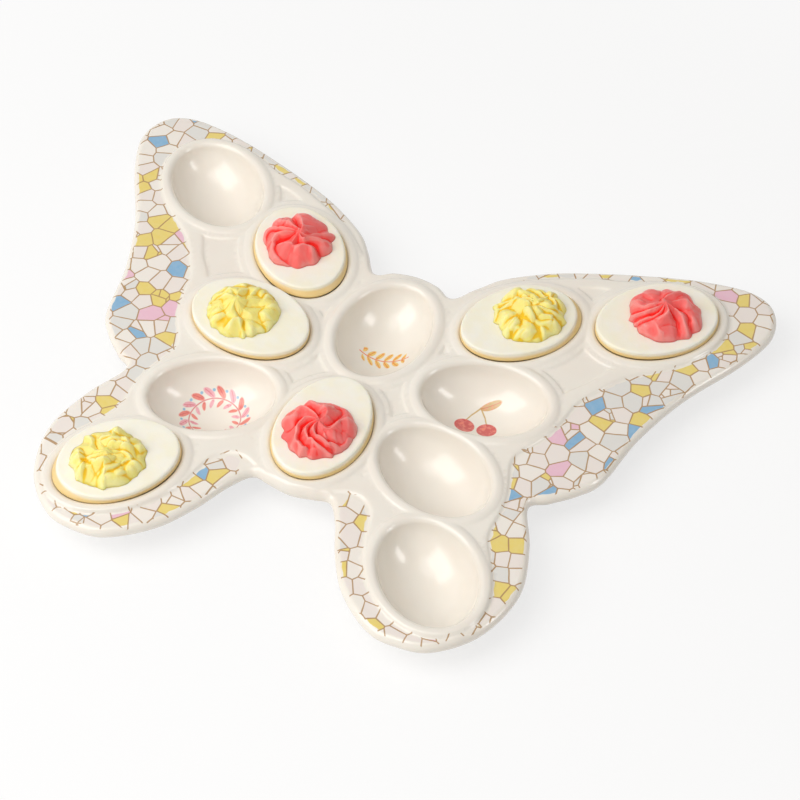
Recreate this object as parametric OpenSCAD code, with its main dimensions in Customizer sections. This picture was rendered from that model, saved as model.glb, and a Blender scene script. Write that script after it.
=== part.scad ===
// Butterfly platter with twelve egg-shaped wells, and six filled half eggs that lie in them.
// Millimetres, +Z up, head towards +Y. The origin is under the middle, on the surface it stands on.

/* [Eggs] */
// Length of a half egg along its cut face
egg_length = 60; // [52:1:68]
// Width of a half egg across its cut face
egg_width = 43; // [38:1:48]
// Height of the cut face above the collars
egg_stand = 3; // [1:0.5:6]
// Width of the round hollow for the filling
hollow_width = 29; // [22:1:32]

/* [Filling] */
// Width of the piped swirl where it sits on the egg
filling_width = 34; // [30:1:37]
// Height of the piped swirl above the cut face
filling_height = 12; // [6:1:18]
// Lobes of the piping nozzle
swirl_lobes = 9; // [5:1:12]

/* [Wells] */
// Room between an egg and its well, all round
well_play = 1; // [0.8:0.1:2]
// Room under an egg that lies in its well
seat_gap = 0.5; // [0.4:0.1:0.9]
// Land that keeps the wells apart
land_width = 6; // [4:0.5:9]
// Width of the raised collar round a well
collar_width = 5; // [3:0.5:7]
// Height of the collars above the field
collar_rise = 2; // [1:0.5:4]
// Wall of the cups under the slab
cup_wall = 5; // [3:0.5:7]
// Depth cut off each cup to make its flat foot
foot_cut = 1; // [0.5:0.1:2]

/* [Slab] */
// Thickness of the wings, which is also the width of their round edge
slab_thickness = 6.5; // [4:0.5:9]

/* [Hidden] */

// Room between a filling and the hollow that it is piped into
filling_gap = 0.2;
// How far the filling's plug reaches up into its swirl
plug_bite = 0.3;
// How far a collar's shoulder runs on below the field
collar_sink = 0.3;
// How far the round edge reaches into the slab, and the angle at which it leaves the slab's faces
edge_bite = 2;
edge_angle = 64;

core_steps = 2;
edge_steps = 2;
edge_rings = 4;
swirl_rings = 7;
swirl_sides = 4 * swirl_lobes;
$fn = 64;

// How much of an egg lies beyond its widest place, at the broad end
blunt_share = 0.48;
// The hollow's place towards the broad end, and the depth of the flutes and the turn of the swirl
hollow_share = 0.05;
flute_share = 0.09;
turn_share = 0.3;

well_length = egg_length + 2 * well_play;
well_width = egg_width + 2 * well_play;
// Wells and outline are laid out on the mean size of a well and the land beside it
pitch = (well_length + well_width) / 2 + land_width;

floor_z = cup_wall - foot_cut;
well_z = floor_z + well_width / 2;
cut_z = floor_z + seat_gap + egg_width / 2;
collar_z = cut_z - egg_stand;
field_z = collar_z - collar_rise;
edge_radius = slab_thickness / 2;
slab_z = field_z - edge_radius;
// How much a well has narrowed at the height of the collars
mouth_share = sqrt(1 - pow((well_z - collar_z) / (well_width / 2), 2));

// Wing wells as shares of the pitch from the middle, with the way the broad end points in degrees
TIP = 0;
FORE = 1;
WING = 2;
HIND = 3;
LOBE = 4;
wing_well_shares = [[1.985, 1.52], [0.985, 1.065], [1.025, 0.21], [0.96, -0.62], [1.31, -1.555]];
wing_well_angles = [42, 48, 9, -25, -48];
head_share = 0.565;
tail_share = 0.61;

function wing_well(i, side) =
    let (angle = wing_well_angles[i])
    [side * wing_well_shares[i].x * pitch, wing_well_shares[i].y * pitch, side > 0 ? angle : 180 - angle];

head_well = [0, head_share * pitch, 90];
tail_well = [0, -tail_share * pitch, -90];
wells = concat([head_well, tail_well], [for (side = [-1, 1]) for (i = [TIP:LOBE]) wing_well(i, side)]);

// Right half of the outline as shares of the pitch, from the head round the wings to the tail
outline_shares = [
    [0, 1.255], [0.2, 1.215], [0.35, 1.145], [0.5, 1.355], [0.66, 1.54], [1, 1.76], [1.34, 1.91],
    [1.67, 2.03], [2.02, 2.14], [2.35, 2.205], [2.58, 2.21], [2.75, 2.14], [2.845, 2.005], [2.875, 1.84],
    [2.84, 1.67], [2.715, 1.38], [2.45, 0.89], [2.27, 0.375], [2.175, -0.13], [2.05, -0.33],
    [1.87, -0.5], [1.74, -0.62], [1.9, -0.98], [2, -1.42], [1.88, -1.865], [1.61, -2.15],
    [1.34, -2.215], [1.085, -2.175], [0.785, -1.945], [0.59, -1.655], [0.45, -1.355], [0.33, -1.19],
    [0.19, -1.205], [0, -1.23]
];

function spline(a, b, c, d, t) =
    ((2 * b) + (c - a) * t + (2 * a - 5 * b + 4 * c - d) * t * t + (3 * b - a - 3 * c + d) * t * t * t) / 2;

// Closed curve through the outline's points and their mirror images, at some steps between each two points
function outline(steps, phase) =
    let (
        half = outline_shares * pitch,
        n = len(half),
        loop = concat(half, [for (i = [n - 2 : -1 : 1]) [-half[i].x, half[i].y]]),
        m = len(loop)
    )
    [for (i = [0 : m - 1]) for (s = [0 : steps - 1])
        spline(loop[(i + m - 1) % m], loop[i], loop[(i + 1) % m], loop[(i + 2) % m], (s + phase) / steps)];

// A closed curve moved inwards
function inset(curve, depth) =
    let (n = len(curve))
    [for (i = [0 : n - 1])
        let (along = curve[(i + 1) % n] - curve[(i + n - 1) % n])
        curve[i] + depth * [along.y, -along.x] / norm(along)];

module at_well(well) {
    translate([well.x, well.y, 0]) rotate(well.z) children();
}

// Keeps what lies between two heights
module between(low, high) {
    reach = well_length + cup_wall;
    intersection() {
        children();
        translate([-reach, -reach, low]) cube([2 * reach, 2 * reach, high - low]);
    }
}

// Long round body of a well, grown all round
module bowl(grow) {
    radius = well_width / 2 + grow;
    translate([0, 0, well_z]) scale([well_length / 2 + grow, radius, radius]) sphere(1);
}

module cup() {
    between(0, slab_z) bowl(cup_wall);
}

// Raised ring whose shoulder slopes from its crest down to the field
module collar() {
    mouth = well_width / 2 * mouth_share;
    crest = mouth + collar_width / 2;
    foot = crest + collar_width / 2 * (collar_rise + collar_sink) / collar_rise;
    scale([(well_length / 2 * mouth_share + collar_width) / (mouth + collar_width), 1, 1])
        rotate_extrude() polygon([
            [0, slab_z], [foot, slab_z], [foot, field_z - collar_sink], [crest, collar_z], [0, collar_z]
        ]);
}

// Round edge swept along the outline, which starts just under the faces of the slab
module rounded_edge() {
    curve = outline(edge_steps, 0);
    n = len(curve);
    shelf = [edge_radius + edge_bite, edge_radius * sin(edge_angle)];
    section = [
        [shelf.x, -shelf.y],
        for (k = [0 : edge_rings])
            let (a = edge_angle * (2 * k / edge_rings - 1))
            edge_radius * [1 - cos(a), sin(a)],
        shelf
    ];
    m = len(section);
    points = [for (s = section) for (p = inset(curve, s.x)) [p.x, p.y, slab_z + s.y]];
    function at(k, i) = (k % m) * n + i % n;
    polyhedron(points, [for (k = [0 : m - 1]) for (i = [0 : n - 1])
        each [[at(k, i), at(k, i + 1), at(k + 1, i)], [at(k, i + 1), at(k + 1, i + 1), at(k + 1, i)]]]);
}

module slab() {
    translate([0, 0, field_z - slab_thickness]) linear_extrude(slab_thickness)
        polygon(inset(outline(core_steps, 1 / 2), edge_radius));
}

module platter() {
    color("ivory") {
        rounded_edge();
        difference() {
            union() {
                slab();
                for (w = wells) at_well(w) {
                    cup();
                    collar();
                }
            }
            for (w = wells) at_well(w) bowl(0);
        }
    }
}

// End of an egg beyond its widest place, towards +X or -X
module egg_end(length, side) {
    intersection() {
        scale([length, egg_width / 2, egg_width / 2]) sphere(1);
        translate([side > 0 ? 0 : -length, -egg_width / 2, -egg_width / 2])
            cube([length, egg_width, egg_width / 2]);
    }
}

module egg_white(well) {
    blunt = egg_length * blunt_share;
    color("floralwhite") at_well(well) translate([egg_length / 2 - blunt, 0, cut_z]) difference() {
        union() {
            egg_end(blunt, 1);
            egg_end(egg_length - blunt, -1);
        }
        translate([egg_length * hollow_share, 0, 0]) sphere(hollow_width / 2);
    }
}

// Dome of star-shaped rings that turn as they rise, so that its flutes wind upwards
module swirl() {
    points = concat(
        [for (k = [0 : swirl_rings - 1]) for (i = [0 : swirl_sides - 1])
            let (
                u = k / swirl_rings,
                flute = 1 + flute_share * cos(360 * swirl_lobes * i / swirl_sides),
                r = filling_width / 2 * sqrt(1 - u * u) * flute,
                a = 360 * (i / swirl_sides + turn_share * u)
            )
            [r * cos(a), r * sin(a), filling_height * u]],
        [[0, 0, 0], [0, 0, filling_height]]
    );
    base = swirl_rings * swirl_sides;
    last = swirl_rings - 1;
    function at(k, i) = k * swirl_sides + i % swirl_sides;
    sides = [for (k = [0 : last - 1]) for (i = [0 : swirl_sides - 1])
        each [[at(k, i), at(k + 1, i), at(k, i + 1)], [at(k, i + 1), at(k + 1, i), at(k + 1, i + 1)]]];
    ends = [for (i = [0 : swirl_sides - 1])
        each [[base, at(0, i), at(0, i + 1)], [base + 1, at(last, i + 1), at(last, i)]]];
    polyhedron(points, concat(sides, ends));
}

module filling(well, tint) {
    blunt = egg_length * blunt_share;
    radius = hollow_width / 2 - filling_gap;
    color(tint) at_well(well)
        translate([egg_length / 2 - blunt + egg_length * hollow_share, 0, cut_z]) {
            swirl();
            intersection() {
                sphere(radius);
                translate([-radius, -radius, -radius]) cube([2 * radius, 2 * radius, radius + plug_bite]);
            }
        }
}

pink = "salmon";
yellow = "khaki";

platter();
egg_white(wing_well(FORE, -1));  // egg_white_forewing_left
egg_white(wing_well(WING, -1));  // egg_white_wing_left
egg_white(wing_well(LOBE, -1));  // egg_white_hindwing_left
egg_white(tail_well);  // egg_white_tail
egg_white(wing_well(FORE, 1));  // egg_white_forewing_right
egg_white(wing_well(TIP, 1));  // egg_white_tip_right
filling(wing_well(FORE, -1), pink);  // filling_forewing_left
filling(wing_well(WING, -1), yellow);  // filling_wing_left
filling(wing_well(LOBE, -1), yellow);  // filling_hindwing_left
filling(tail_well, pink);  // filling_tail
filling(wing_well(FORE, 1), yellow);  // filling_forewing_right
filling(wing_well(TIP, 1), pink);  // filling_tip_right
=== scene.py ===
"""A butterfly platter with twelve egg wells, and the deviled eggs that lie in six of them."""

import logging
import math
from dataclasses import dataclass, field
from enum import Enum
from typing import Any, Iterable, Sequence, Union

import bmesh
import bpy
import numpy as np
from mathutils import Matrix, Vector, noise
from mathutils.geometry import delaunay_2d_cdt


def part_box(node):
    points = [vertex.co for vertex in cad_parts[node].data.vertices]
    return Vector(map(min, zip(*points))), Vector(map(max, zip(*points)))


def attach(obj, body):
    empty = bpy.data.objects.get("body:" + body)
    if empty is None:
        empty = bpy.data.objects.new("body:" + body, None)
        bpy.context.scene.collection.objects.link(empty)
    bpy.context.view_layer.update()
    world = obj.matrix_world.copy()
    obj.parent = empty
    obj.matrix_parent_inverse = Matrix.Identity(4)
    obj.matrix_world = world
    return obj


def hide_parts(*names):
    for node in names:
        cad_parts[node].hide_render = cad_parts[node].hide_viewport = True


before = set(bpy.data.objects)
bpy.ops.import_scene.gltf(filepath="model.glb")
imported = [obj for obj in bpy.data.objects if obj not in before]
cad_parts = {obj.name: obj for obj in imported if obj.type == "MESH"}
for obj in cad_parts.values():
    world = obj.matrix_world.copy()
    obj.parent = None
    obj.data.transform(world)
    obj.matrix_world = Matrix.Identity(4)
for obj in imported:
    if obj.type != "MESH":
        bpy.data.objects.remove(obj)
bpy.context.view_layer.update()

logging.basicConfig(level=logging.INFO, format="%(message)s")
log = logging.getLogger("platter")

MM = 0.001
TURN = 2 * math.pi
QUARTER = math.pi / 2
SEARCH_STEPS = 24
SEW_DISTANCE = 0.004
TINY = 1e-9
LOOP_PRECISION = 1e-6

Colour = tuple[float, float, float, float]
Pair = tuple[float, float]
Triple = tuple[float, float, float]
Array = np.ndarray
Number = Union[float, "Value"]


def screen(red: int, green: int, blue: int) -> Colour:
    """Turns a colour of 0 to 255, as a screen shows it, into linear light.

    Args:
        red, green, blue: The colour's parts.

    Returns:
        The linear colour, opaque.
    """
    def part(value: int) -> float:
        """One part of the colour in linear light."""
        share = value / 255
        return share / 12.92 if share <= 0.04045 else ((share + 0.055) / 1.055) ** 2.4

    return (part(red), part(green), part(blue), 1.0)


def ease(value: Array, start: float, end: float) -> Array:
    """Goes smoothly from 0 at start to 1 at end, where end may be the lower of the two."""
    share = np.clip((value - start) / (end - start), 0, 1)
    return share * share * (3 - 2 * share)


def soft_min(first: Array, second: Array, width: float) -> Array:
    """The lower of two heights, with a fillet of some width where they meet."""
    share = np.clip(0.5 + 0.5 * (second - first) / width, 0, 1)
    return second + (first - second) * share - width * share * (1 - share)


def rays(angle: Array) -> Array:
    """Steps of length 1 in the given directions."""
    return np.stack([np.cos(angle), np.sin(angle)], -1)


class Value:
    """A number or colour that varies over a surface. Arithmetic on it adds Math nodes to its tree."""

    def __init__(self, tree: "Tree", socket: bpy.types.NodeSocket) -> None:
        """Wraps one output socket of a tree."""
        self.tree = tree
        self.socket = socket

    def beside(self, output: int | str) -> "Value":
        """Another output of the node that this value comes from."""
        return Value(self.tree, self.socket.node.outputs[output])

    def math(self, operation: str, *others: Number) -> "Value":
        """Adds a Math node that takes this value first."""
        return self.tree.node("ShaderNodeMath", {"operation": operation}, dict(enumerate((self, *others))))

    def after(self, operation: str, other: float) -> "Value":
        """Adds a Math node that takes this value second."""
        return self.tree.node("ShaderNodeMath", {"operation": operation}, {0: other, 1: self})

    def __add__(self, other: Number) -> "Value":
        """This value plus another."""
        return self.math("ADD", other)

    def __radd__(self, other: float) -> "Value":
        """A number plus this value."""
        return self.after("ADD", other)

    def __sub__(self, other: Number) -> "Value":
        """This value less another."""
        return self.math("SUBTRACT", other)

    def __rsub__(self, other: float) -> "Value":
        """A number less this value."""
        return self.after("SUBTRACT", other)

    def __mul__(self, other: Number) -> "Value":
        """This value times another."""
        return self.math("MULTIPLY", other)

    def __rmul__(self, other: float) -> "Value":
        """A number times this value."""
        return self.after("MULTIPLY", other)

    def __truediv__(self, other: Number) -> "Value":
        """This value over another."""
        return self.math("DIVIDE", other)

    def __rtruediv__(self, other: float) -> "Value":
        """A number over this value."""
        return self.after("DIVIDE", other)

    def __abs__(self) -> "Value":
        """This value without its sign."""
        return self.math("ABSOLUTE")

    def span(self, other: "Value") -> "Value":
        """Length of a step whose two parts are this value and another."""
        return (self * self + other * other).math("SQRT")

    def ease(self, start: float, end: float) -> "Value":
        """Goes smoothly from 0 at start to 1 at end, where end may be the lower of the two."""
        return self.tree.node(
            "ShaderNodeMapRange",
            {"interpolation_type": "SMOOTHSTEP"},
            {"Value": self, "From Min": start, "From Max": end},
        )


class Tree:
    """The nodes of one material or world, round its main shader."""

    def __init__(self, owner: bpy.types.Material | bpy.types.World) -> None:
        """Starts from the shader and the output that a new material or world has."""
        owner.use_nodes = True
        self.owner = owner
        self.nodes = owner.node_tree.nodes
        self.links = owner.node_tree.links
        self.output = next(n for n in self.nodes if n.type.startswith("OUTPUT"))
        self.shader = next(n for n in self.nodes if n != self.output)

    @classmethod
    def of_material(cls, name: str) -> "Tree":
        """Makes a material and starts on its nodes."""
        return cls(bpy.data.materials.new(name))

    def node(self, kind: str, settings: dict[str, Any] | None = None,
             inputs: dict[Any, Any] | None = None, output: int | str = 0) -> Value:
        """Adds any node.

        Args:
            kind: The node's type.
            settings: Its properties, set first. "stops" holds a ramp's places and colours.
            inputs: Values or links for its sockets, by name or number.
            output: The socket that is wanted from it.

        Returns:
            That output.
        """
        made = self.nodes.new(kind)
        for name, value in (settings or {}).items():
            if name == "stops":
                self.set_stops(made.color_ramp, value)
            else:
                setattr(made, name, value)
        for key, value in (inputs or {}).items():
            self.feed(made.inputs[key], value)
        return Value(self, made.outputs[output])

    @staticmethod
    def set_stops(ramp: bpy.types.ColorRamp, stops: Sequence[tuple[float, Colour]]) -> None:
        """Gives a ramp flat steps.

        Args:
            ramp: The ramp.
            stops: Each step's colour, with the place that it starts from.
        """
        ramp.interpolation = "CONSTANT"
        while len(ramp.elements) < len(stops):
            ramp.elements.new(1.0)
        for element, (place, colour) in zip(ramp.elements, stops):
            element.position = place
            element.color = colour

    def feed(self, socket: bpy.types.NodeSocket, value: Any) -> None:
        """Links a varying value to a socket, or sets a plain one on it.

        Args:
            socket: The input socket.
            value: A Value, or what the socket itself can hold.
        """
        if isinstance(value, Value):
            self.links.new(value.socket, socket)
        else:
            socket.default_value = value

    def dress(self, **sockets: Any) -> None:
        """Feeds the main shader's sockets, written with _ for a space."""
        for name, value in sockets.items():
            self.feed(self.shader.inputs[name.replace("_", " ")], value)

    def overlay(self, share: Value, other: Value) -> None:
        """Shows another shader over the main one.

        Args:
            share: 0 where the main shader shows, and 1 where the other does.
            other: The other shader.
        """
        main = Value(self, self.shader.outputs[0])
        mixed = self.node("ShaderNodeMixShader", {}, {0: share, 1: main, 2: other})
        self.feed(self.output.inputs[0], mixed)

    def seen(self) -> Value:
        """Finds the rays that show a surface, and don't only light others by it.

        Returns:
            1 on rays from the camera and on mirrored or refracted ones, else 0.
        """
        camera = self.node("ShaderNodeLightPath", output="Is Camera Ray")
        mirrored = camera.math("MAXIMUM", camera.beside("Is Glossy Ray"))
        return mirrored.math("MAXIMUM", camera.beside("Is Transmission Ray"))

    def mix(self, share: Number, first: Any, second: Any) -> Value:
        """Goes from one colour to another as share goes from 0 to 1."""
        return self.node("ShaderNodeMix", {"data_type": "RGBA"}, {0: share, 6: first, 7: second}, 2)

    def vector(self, operation: str, *inputs: Any) -> Value:
        """Adds a Vector Math node."""
        return self.node("ShaderNodeVectorMath", {"operation": operation}, dict(enumerate(inputs)))

    def spot(self) -> Value:
        """The place on the piece, in millimetres of the part's frame."""
        place = self.node("ShaderNodeTexCoord", output="Object")
        return self.node("ShaderNodeVectorMath", {"operation": "SCALE"}, {0: place, "Scale": 1 / MM})

    def axes(self, spot: Value) -> tuple[Value, Value, Value]:
        """The three parts of a place."""
        x = self.node("ShaderNodeSeparateXYZ", inputs={0: spot})
        return x, x.beside("Y"), x.beside("Z")

    def noise(self, spot: Value, size: float, detail: float = 2.0) -> Value:
        """Cloudy noise from 0 to 1 with lumps of some size in millimetres."""
        return self.node("ShaderNodeTexNoise", {}, {"Vector": spot, "Scale": 1 / size, "Detail": detail})

    def bump(self, height: Value, depth: float) -> Value:
        """A normal that stands for small relief of some depth in millimetres."""
        relief = {"Height": height, "Distance": depth * MM, "Strength": 1.0}
        return self.node("ShaderNodeBump", {}, relief, "Normal")

    def stored(self, name: str) -> Value:
        """A number that the mesh holds at its points."""
        return self.node("ShaderNodeAttribute", {"attribute_name": name}, output="Fac")


@dataclass(frozen=True)
class Glaze:
    """Warm white glaze over ceramic, bare where the feet were wiped before firing."""

    name: str = "warm_white_glaze"
    colour: Colour = screen(243, 237, 226)
    thin: Colour = screen(240, 228, 215)
    thin_share: float = 0.35
    bisque: Colour = screen(222, 205, 180)
    foot_band: Pair = (0.35, 0.1)
    cloud_size: float = 26.0
    cloud_band: Pair = (0.35, 0.75)
    roughness: float = 0.2
    cloud_roughness: float = 0.05
    bare_roughness: float = 0.6
    ripple_size: float = 9.0
    ripple_share: float = 0.5
    grain_size: float = 0.5
    grain_share: float = 0.4
    relief: float = 0.12

    def print_on(self, tree: Tree, spot: Value, colour: Value) -> Value:
        """The colour with this glaze's print on it: plain glaze has none."""
        return colour

    def material(self) -> bpy.types.Material:
        """Makes the material.

        Returns:
            The glaze, with its print on it.
        """
        tree = Tree.of_material(self.name)
        spot = tree.spot()
        cloud = tree.noise(spot, self.cloud_size).ease(*self.cloud_band)
        colour = tree.mix(cloud * self.thin_share, self.colour, self.thin)
        colour = self.print_on(tree, spot, colour)
        bare = tree.axes(spot)[2].ease(*self.foot_band)
        grain = tree.noise(spot, self.grain_size, detail=3.0) * bare * self.grain_share
        ripple = tree.noise(spot, self.ripple_size, detail=1.0) * self.ripple_share
        tree.dress(
            Base_Color=tree.mix(bare, colour, self.bisque),
            Roughness=self.roughness + cloud * self.cloud_roughness + bare * self.bare_roughness,
            Normal=tree.bump(ripple + grain, self.relief),
            IOR=1.5,
            Coat_Weight=0.3,
            Coat_Roughness=0.06,
            Subsurface_Weight=0.06,
            Subsurface_Radius=(1.0, 0.7, 0.5),
            Subsurface_Scale=1.2 * MM,
        )
        return tree.owner


@dataclass(frozen=True)
class MosaicGlaze(Glaze):
    """Glaze with a broken-tile print where the mesh's print distance is positive."""

    name: str = "mosaic_glaze"
    tile: float = 8.4
    tile_jitter: float = 0.92
    shard: float = 10.0
    shard_jitter: float = 1.0
    split: float = 0.18
    start: Triple = (300.0, 200.0, 0.0)
    waver: float = 1.1
    waver_size: float = 14.0
    margin: float = 0.9
    margin_soft: float = 0.15
    ragged: float = 1.6
    ragged_size: float = 3.2
    ragged_share: float = 0.35
    wash_size: float = 2.4
    wash_share: float = 0.22
    line: float = 0.31
    line_thin: float = 0.75
    line_swell: float = 0.6
    line_size: float = 5.0
    line_soft: float = 0.008
    line_band: Pair = (-0.3, 0.1)
    line_cover: float = 0.92
    line_colour: Colour = screen(176, 137, 88)
    tiles: tuple[tuple[float, Colour], ...] = (
        (0.0, screen(240, 230, 223)),
        (0.28, screen(244, 237, 228)),
        (0.54, screen(227, 225, 220)),
        (0.73, screen(236, 211, 96)),
        (0.92, screen(116, 174, 214)),
        (0.97, screen(238, 188, 208)),
    )

    def cells(self, tree: Tree, spot: Value, size: float, jitter: float) -> tuple[Value, Value]:
        """Irregular cells that fill the surface.

        Args:
            tree: The nodes of the material.
            spot: The place on the ware.
            size: Width of a cell in millimetres.
            jitter: How uneven the cells are, from 0 to 1.

        Returns:
            A random number for each cell, and the distance to its edge as a share of its width.
        """
        grid = {"Vector": spot, "Scale": 1 / size, "Randomness": jitter}
        flat = {"voronoi_dimensions": "2D"}
        pick = tree.node("ShaderNodeTexVoronoi", flat, grid, "Color")
        edge = tree.node("ShaderNodeTexVoronoi", flat | {"feature": "DISTANCE_TO_EDGE"}, grid, "Distance")
        return tree.node("ShaderNodeSeparateColor", inputs={0: pick}), edge

    def print_on(self, tree: Tree, spot: Value, colour: Value) -> Value:
        """Lays the tiles and then the lines between them.

        Args:
            tree: The nodes of the material.
            spot: The place on the ware.
            colour: Colour of the glaze under the print.

        Returns:
            The printed colour.
        """
        depth = tree.stored("print")
        bend = tree.noise(spot, self.waver_size).beside("Color")
        shift = tree.vector("MULTIPLY_ADD", bend, (self.waver,) * 3, spot)
        shift = tree.vector("ADD", shift, self.start)
        tile, edge = self.cells(tree, shift, self.tile, self.tile_jitter)
        shard, crack = self.cells(tree, shift, self.shard, self.shard_jitter)
        split = tile.beside("Green").math("LESS_THAN", self.split)
        edge = edge.math("MINIMUM", crack * (self.shard / self.tile) + (1 - split))
        chance = (tile + shard * split).math("FRACT")
        tint = tree.node("ShaderNodeValToRGB", {"stops": self.tiles}, {0: chance}, "Color")
        tint = tree.mix(tree.noise(spot, self.wash_size) * self.wash_share, tint, colour)
        ragged = tree.noise(spot, self.ragged_size, detail=0.0) * (2 * self.ragged) - self.ragged
        inside = depth + ragged * self.ragged_share
        inside = inside.ease(self.margin - self.margin_soft, self.margin + self.margin_soft)
        colour = tree.mix(inside, colour, tint)
        swell = self.line_thin + tree.noise(spot, self.line_size, detail=0.0) * self.line_swell
        drawn = (edge - (self.line / self.tile) * swell).ease(self.line_soft, -self.line_soft)
        drawn = drawn * (depth + ragged).ease(*self.line_band)
        return tree.mix(drawn * self.line_cover, colour, self.line_colour)


@dataclass(frozen=True)
class Oval:
    """An oval dab of paint: its middle and half sizes in millimetres, and its tilt in radians."""

    middle: Pair
    halves: Pair
    tilt: float = 0.0

    def outside(self, across: Value, along: Value) -> Value:
        """How far outside the oval a place is.

        Args:
            across, along: The place, in millimetres.

        Returns:
            The distance in millimetres, below 0 inside it.
        """
        x, y = across - self.middle[0], along - self.middle[1]
        cos, sin = math.cos(self.tilt), math.sin(self.tilt)
        u = (x * cos + y * sin) / self.halves[0]
        v = (y * cos - x * sin) / self.halves[1]
        return (u.span(v) - 1.0) * min(self.halves)


@dataclass(frozen=True)
class Stroke:
    """A straight brush stroke: its two ends and its width in millimetres."""

    start: Pair
    end: Pair
    width: float

    def outside(self, across: Value, along: Value) -> Value:
        """How far outside the stroke a place is.

        Args:
            across, along: The place, in millimetres.

        Returns:
            The distance in millimetres, below 0 inside it.
        """
        dx, dy = self.end[0] - self.start[0], self.end[1] - self.start[1]
        x, y = across - self.start[0], along - self.start[1]
        share = (x * dx + y * dy) / (dx * dx + dy * dy)
        share = share.math("MAXIMUM", 0.0).math("MINIMUM", 1.0)
        return (x - share * dx).span(y - share * dy) - self.width / 2


@dataclass(frozen=True)
class MotifGlaze(Glaze):
    """Glaze with a small painted motif in the middle of one well."""

    middle: Pair = (0.0, 0.0)
    turn: float = 0.0
    soft: float = 0.18
    cover: float = 0.92

    def paper(self, tree: Tree, spot: Value) -> tuple[Value, Value]:
        """Where the motif's own two axes say a place is.

        Args:
            tree: The nodes of the material.
            spot: The place on the ware.

        Returns:
            The place across and along the motif, in millimetres.
        """
        x, y, _ = tree.axes(spot)
        x, y = x - self.middle[0], y - self.middle[1]
        cos, sin = math.cos(self.turn), math.sin(self.turn)
        return x * cos + y * sin, y * cos - x * sin

    def paint(self, colour: Value, outside: Value, paint: Any, cover: Number) -> Value:
        """Paints a colour over what lies inside a shape."""
        return colour.tree.mix(outside.ease(self.soft, -self.soft) * cover, colour, paint)


@dataclass(frozen=True)
class WreathGlaze(MotifGlaze):
    """A ring of coral and pink leaves with blue berries."""

    name: str = "wreath_glaze"
    ring: float = 12.5
    leaves: int = 16
    vine_place: float = -0.2
    vine: float = 0.28
    vine_cover: float = 0.75
    leaf_shapes: tuple[Oval, ...] = (
        Oval((0.3, 2.3), (2.9, 1.25), 0.85),
        Oval((0.3, -2.5), (2.4, 1.0), -0.85),
    )
    vein: Stroke = Stroke((-1.0, 0.7), (1.7, 4.1), 0.3)
    vein_cover: float = 0.6
    berry: Oval = Oval((-1.5, 3.2), (0.6, 0.6))
    shade_size: float = 1.6
    shade_band: Pair = (0.45, 0.8)
    shade_share: float = 0.6
    coral: Colour = screen(238, 128, 112)
    pink: Colour = screen(240, 172, 184)
    red: Colour = screen(214, 74, 82)
    blue: Colour = screen(140, 190, 220)

    def print_on(self, tree: Tree, spot: Value, colour: Value) -> Value:
        """Paints the wreath, one sector of it repeated.

        Args:
            tree: The nodes of the material.
            spot: The place on the ware.
            colour: Colour of the glaze under the motif.

        Returns:
            The painted colour.
        """
        x, y = self.paper(tree, spot)
        sector = y.math("ARCTAN2", x) * (self.leaves / TURN)
        number = sector.math("FLOOR")
        across = (sector - number - 0.5) * (TURN * self.ring / self.leaves)
        along = x.span(y) - self.ring
        odd = abs(number.math("MODULO", 2.0)).ease(0.4, 0.6)
        shade = tree.noise(spot, self.shade_size).ease(*self.shade_band)
        leaf = tree.mix(odd, self.coral, self.pink)
        leaf = tree.mix(shade * self.shade_share, leaf, self.red)
        colour = self.paint(colour, abs(along - self.vine_place) - self.vine, self.red, self.vine_cover)
        for shape in self.leaf_shapes:
            colour = self.paint(colour, shape.outside(across, along), leaf, self.cover)
        colour = self.paint(colour, self.vein.outside(across, along), self.red, self.vein_cover)
        return self.paint(colour, self.berry.outside(across, along), self.blue, self.cover)


@dataclass(frozen=True)
class SprigGlaze(MotifGlaze):
    """A bent stem with pairs of orange and yellow leaves. The leaf and vein are the first pair's."""

    name: str = "sprig_glaze"
    half: float = 12.5
    step: float = 4.2
    bend: float = 0.016
    leaf_ends: Pair = (1.6, 2.2)
    leaf_scale: float = 1.12
    leaf_taper: float = 0.35
    leaf: Oval = Oval((2.184, 2.7), (2.9, 1.15), 0.95)
    vein: Stroke = Stroke((0.672, 0.6), (3.36, 4.6), 0.42)
    vein_cover: float = 0.85
    stem: float = 0.32
    stem_end: float = 0.3
    stem_drop: float = 2.0
    shade_size: float = 1.4
    shade_band: Pair = (0.4, 0.75)
    shade_share: float = 0.55
    yellow: Colour = screen(244, 204, 84)
    orange: Colour = screen(234, 118, 44)

    def print_on(self, tree: Tree, spot: Value, colour: Value) -> Value:
        """Paints one pair of leaves, repeated along the stem, and then the stem.

        Args:
            tree: The nodes of the material.
            spot: The place on the ware.
            colour: Colour of the glaze under the motif.

        Returns:
            The painted colour.
        """
        x, y = self.paper(tree, spot)
        away = abs(x)
        side = abs(y - x * x * self.bend)
        reach = away.ease(*(self.half - end for end in self.leaf_ends))
        along = (x / self.step).math("FRACT") * self.step
        across = side / (self.leaf_scale - away * (self.leaf_taper / self.half))
        shade = tree.noise(spot, self.shade_size).ease(*self.shade_band)
        leaf = tree.mix(shade * self.shade_share, self.yellow, self.orange)
        colour = self.paint(colour, self.leaf.outside(along, across), leaf, reach * self.cover)
        vein = self.vein.outside(along, across)
        colour = self.paint(colour, vein, self.orange, reach * self.vein_cover)
        end = away.ease(self.half - self.stem_end, self.half) * self.stem_drop
        return self.paint(colour, side - self.stem + end, self.orange, self.cover)


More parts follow.
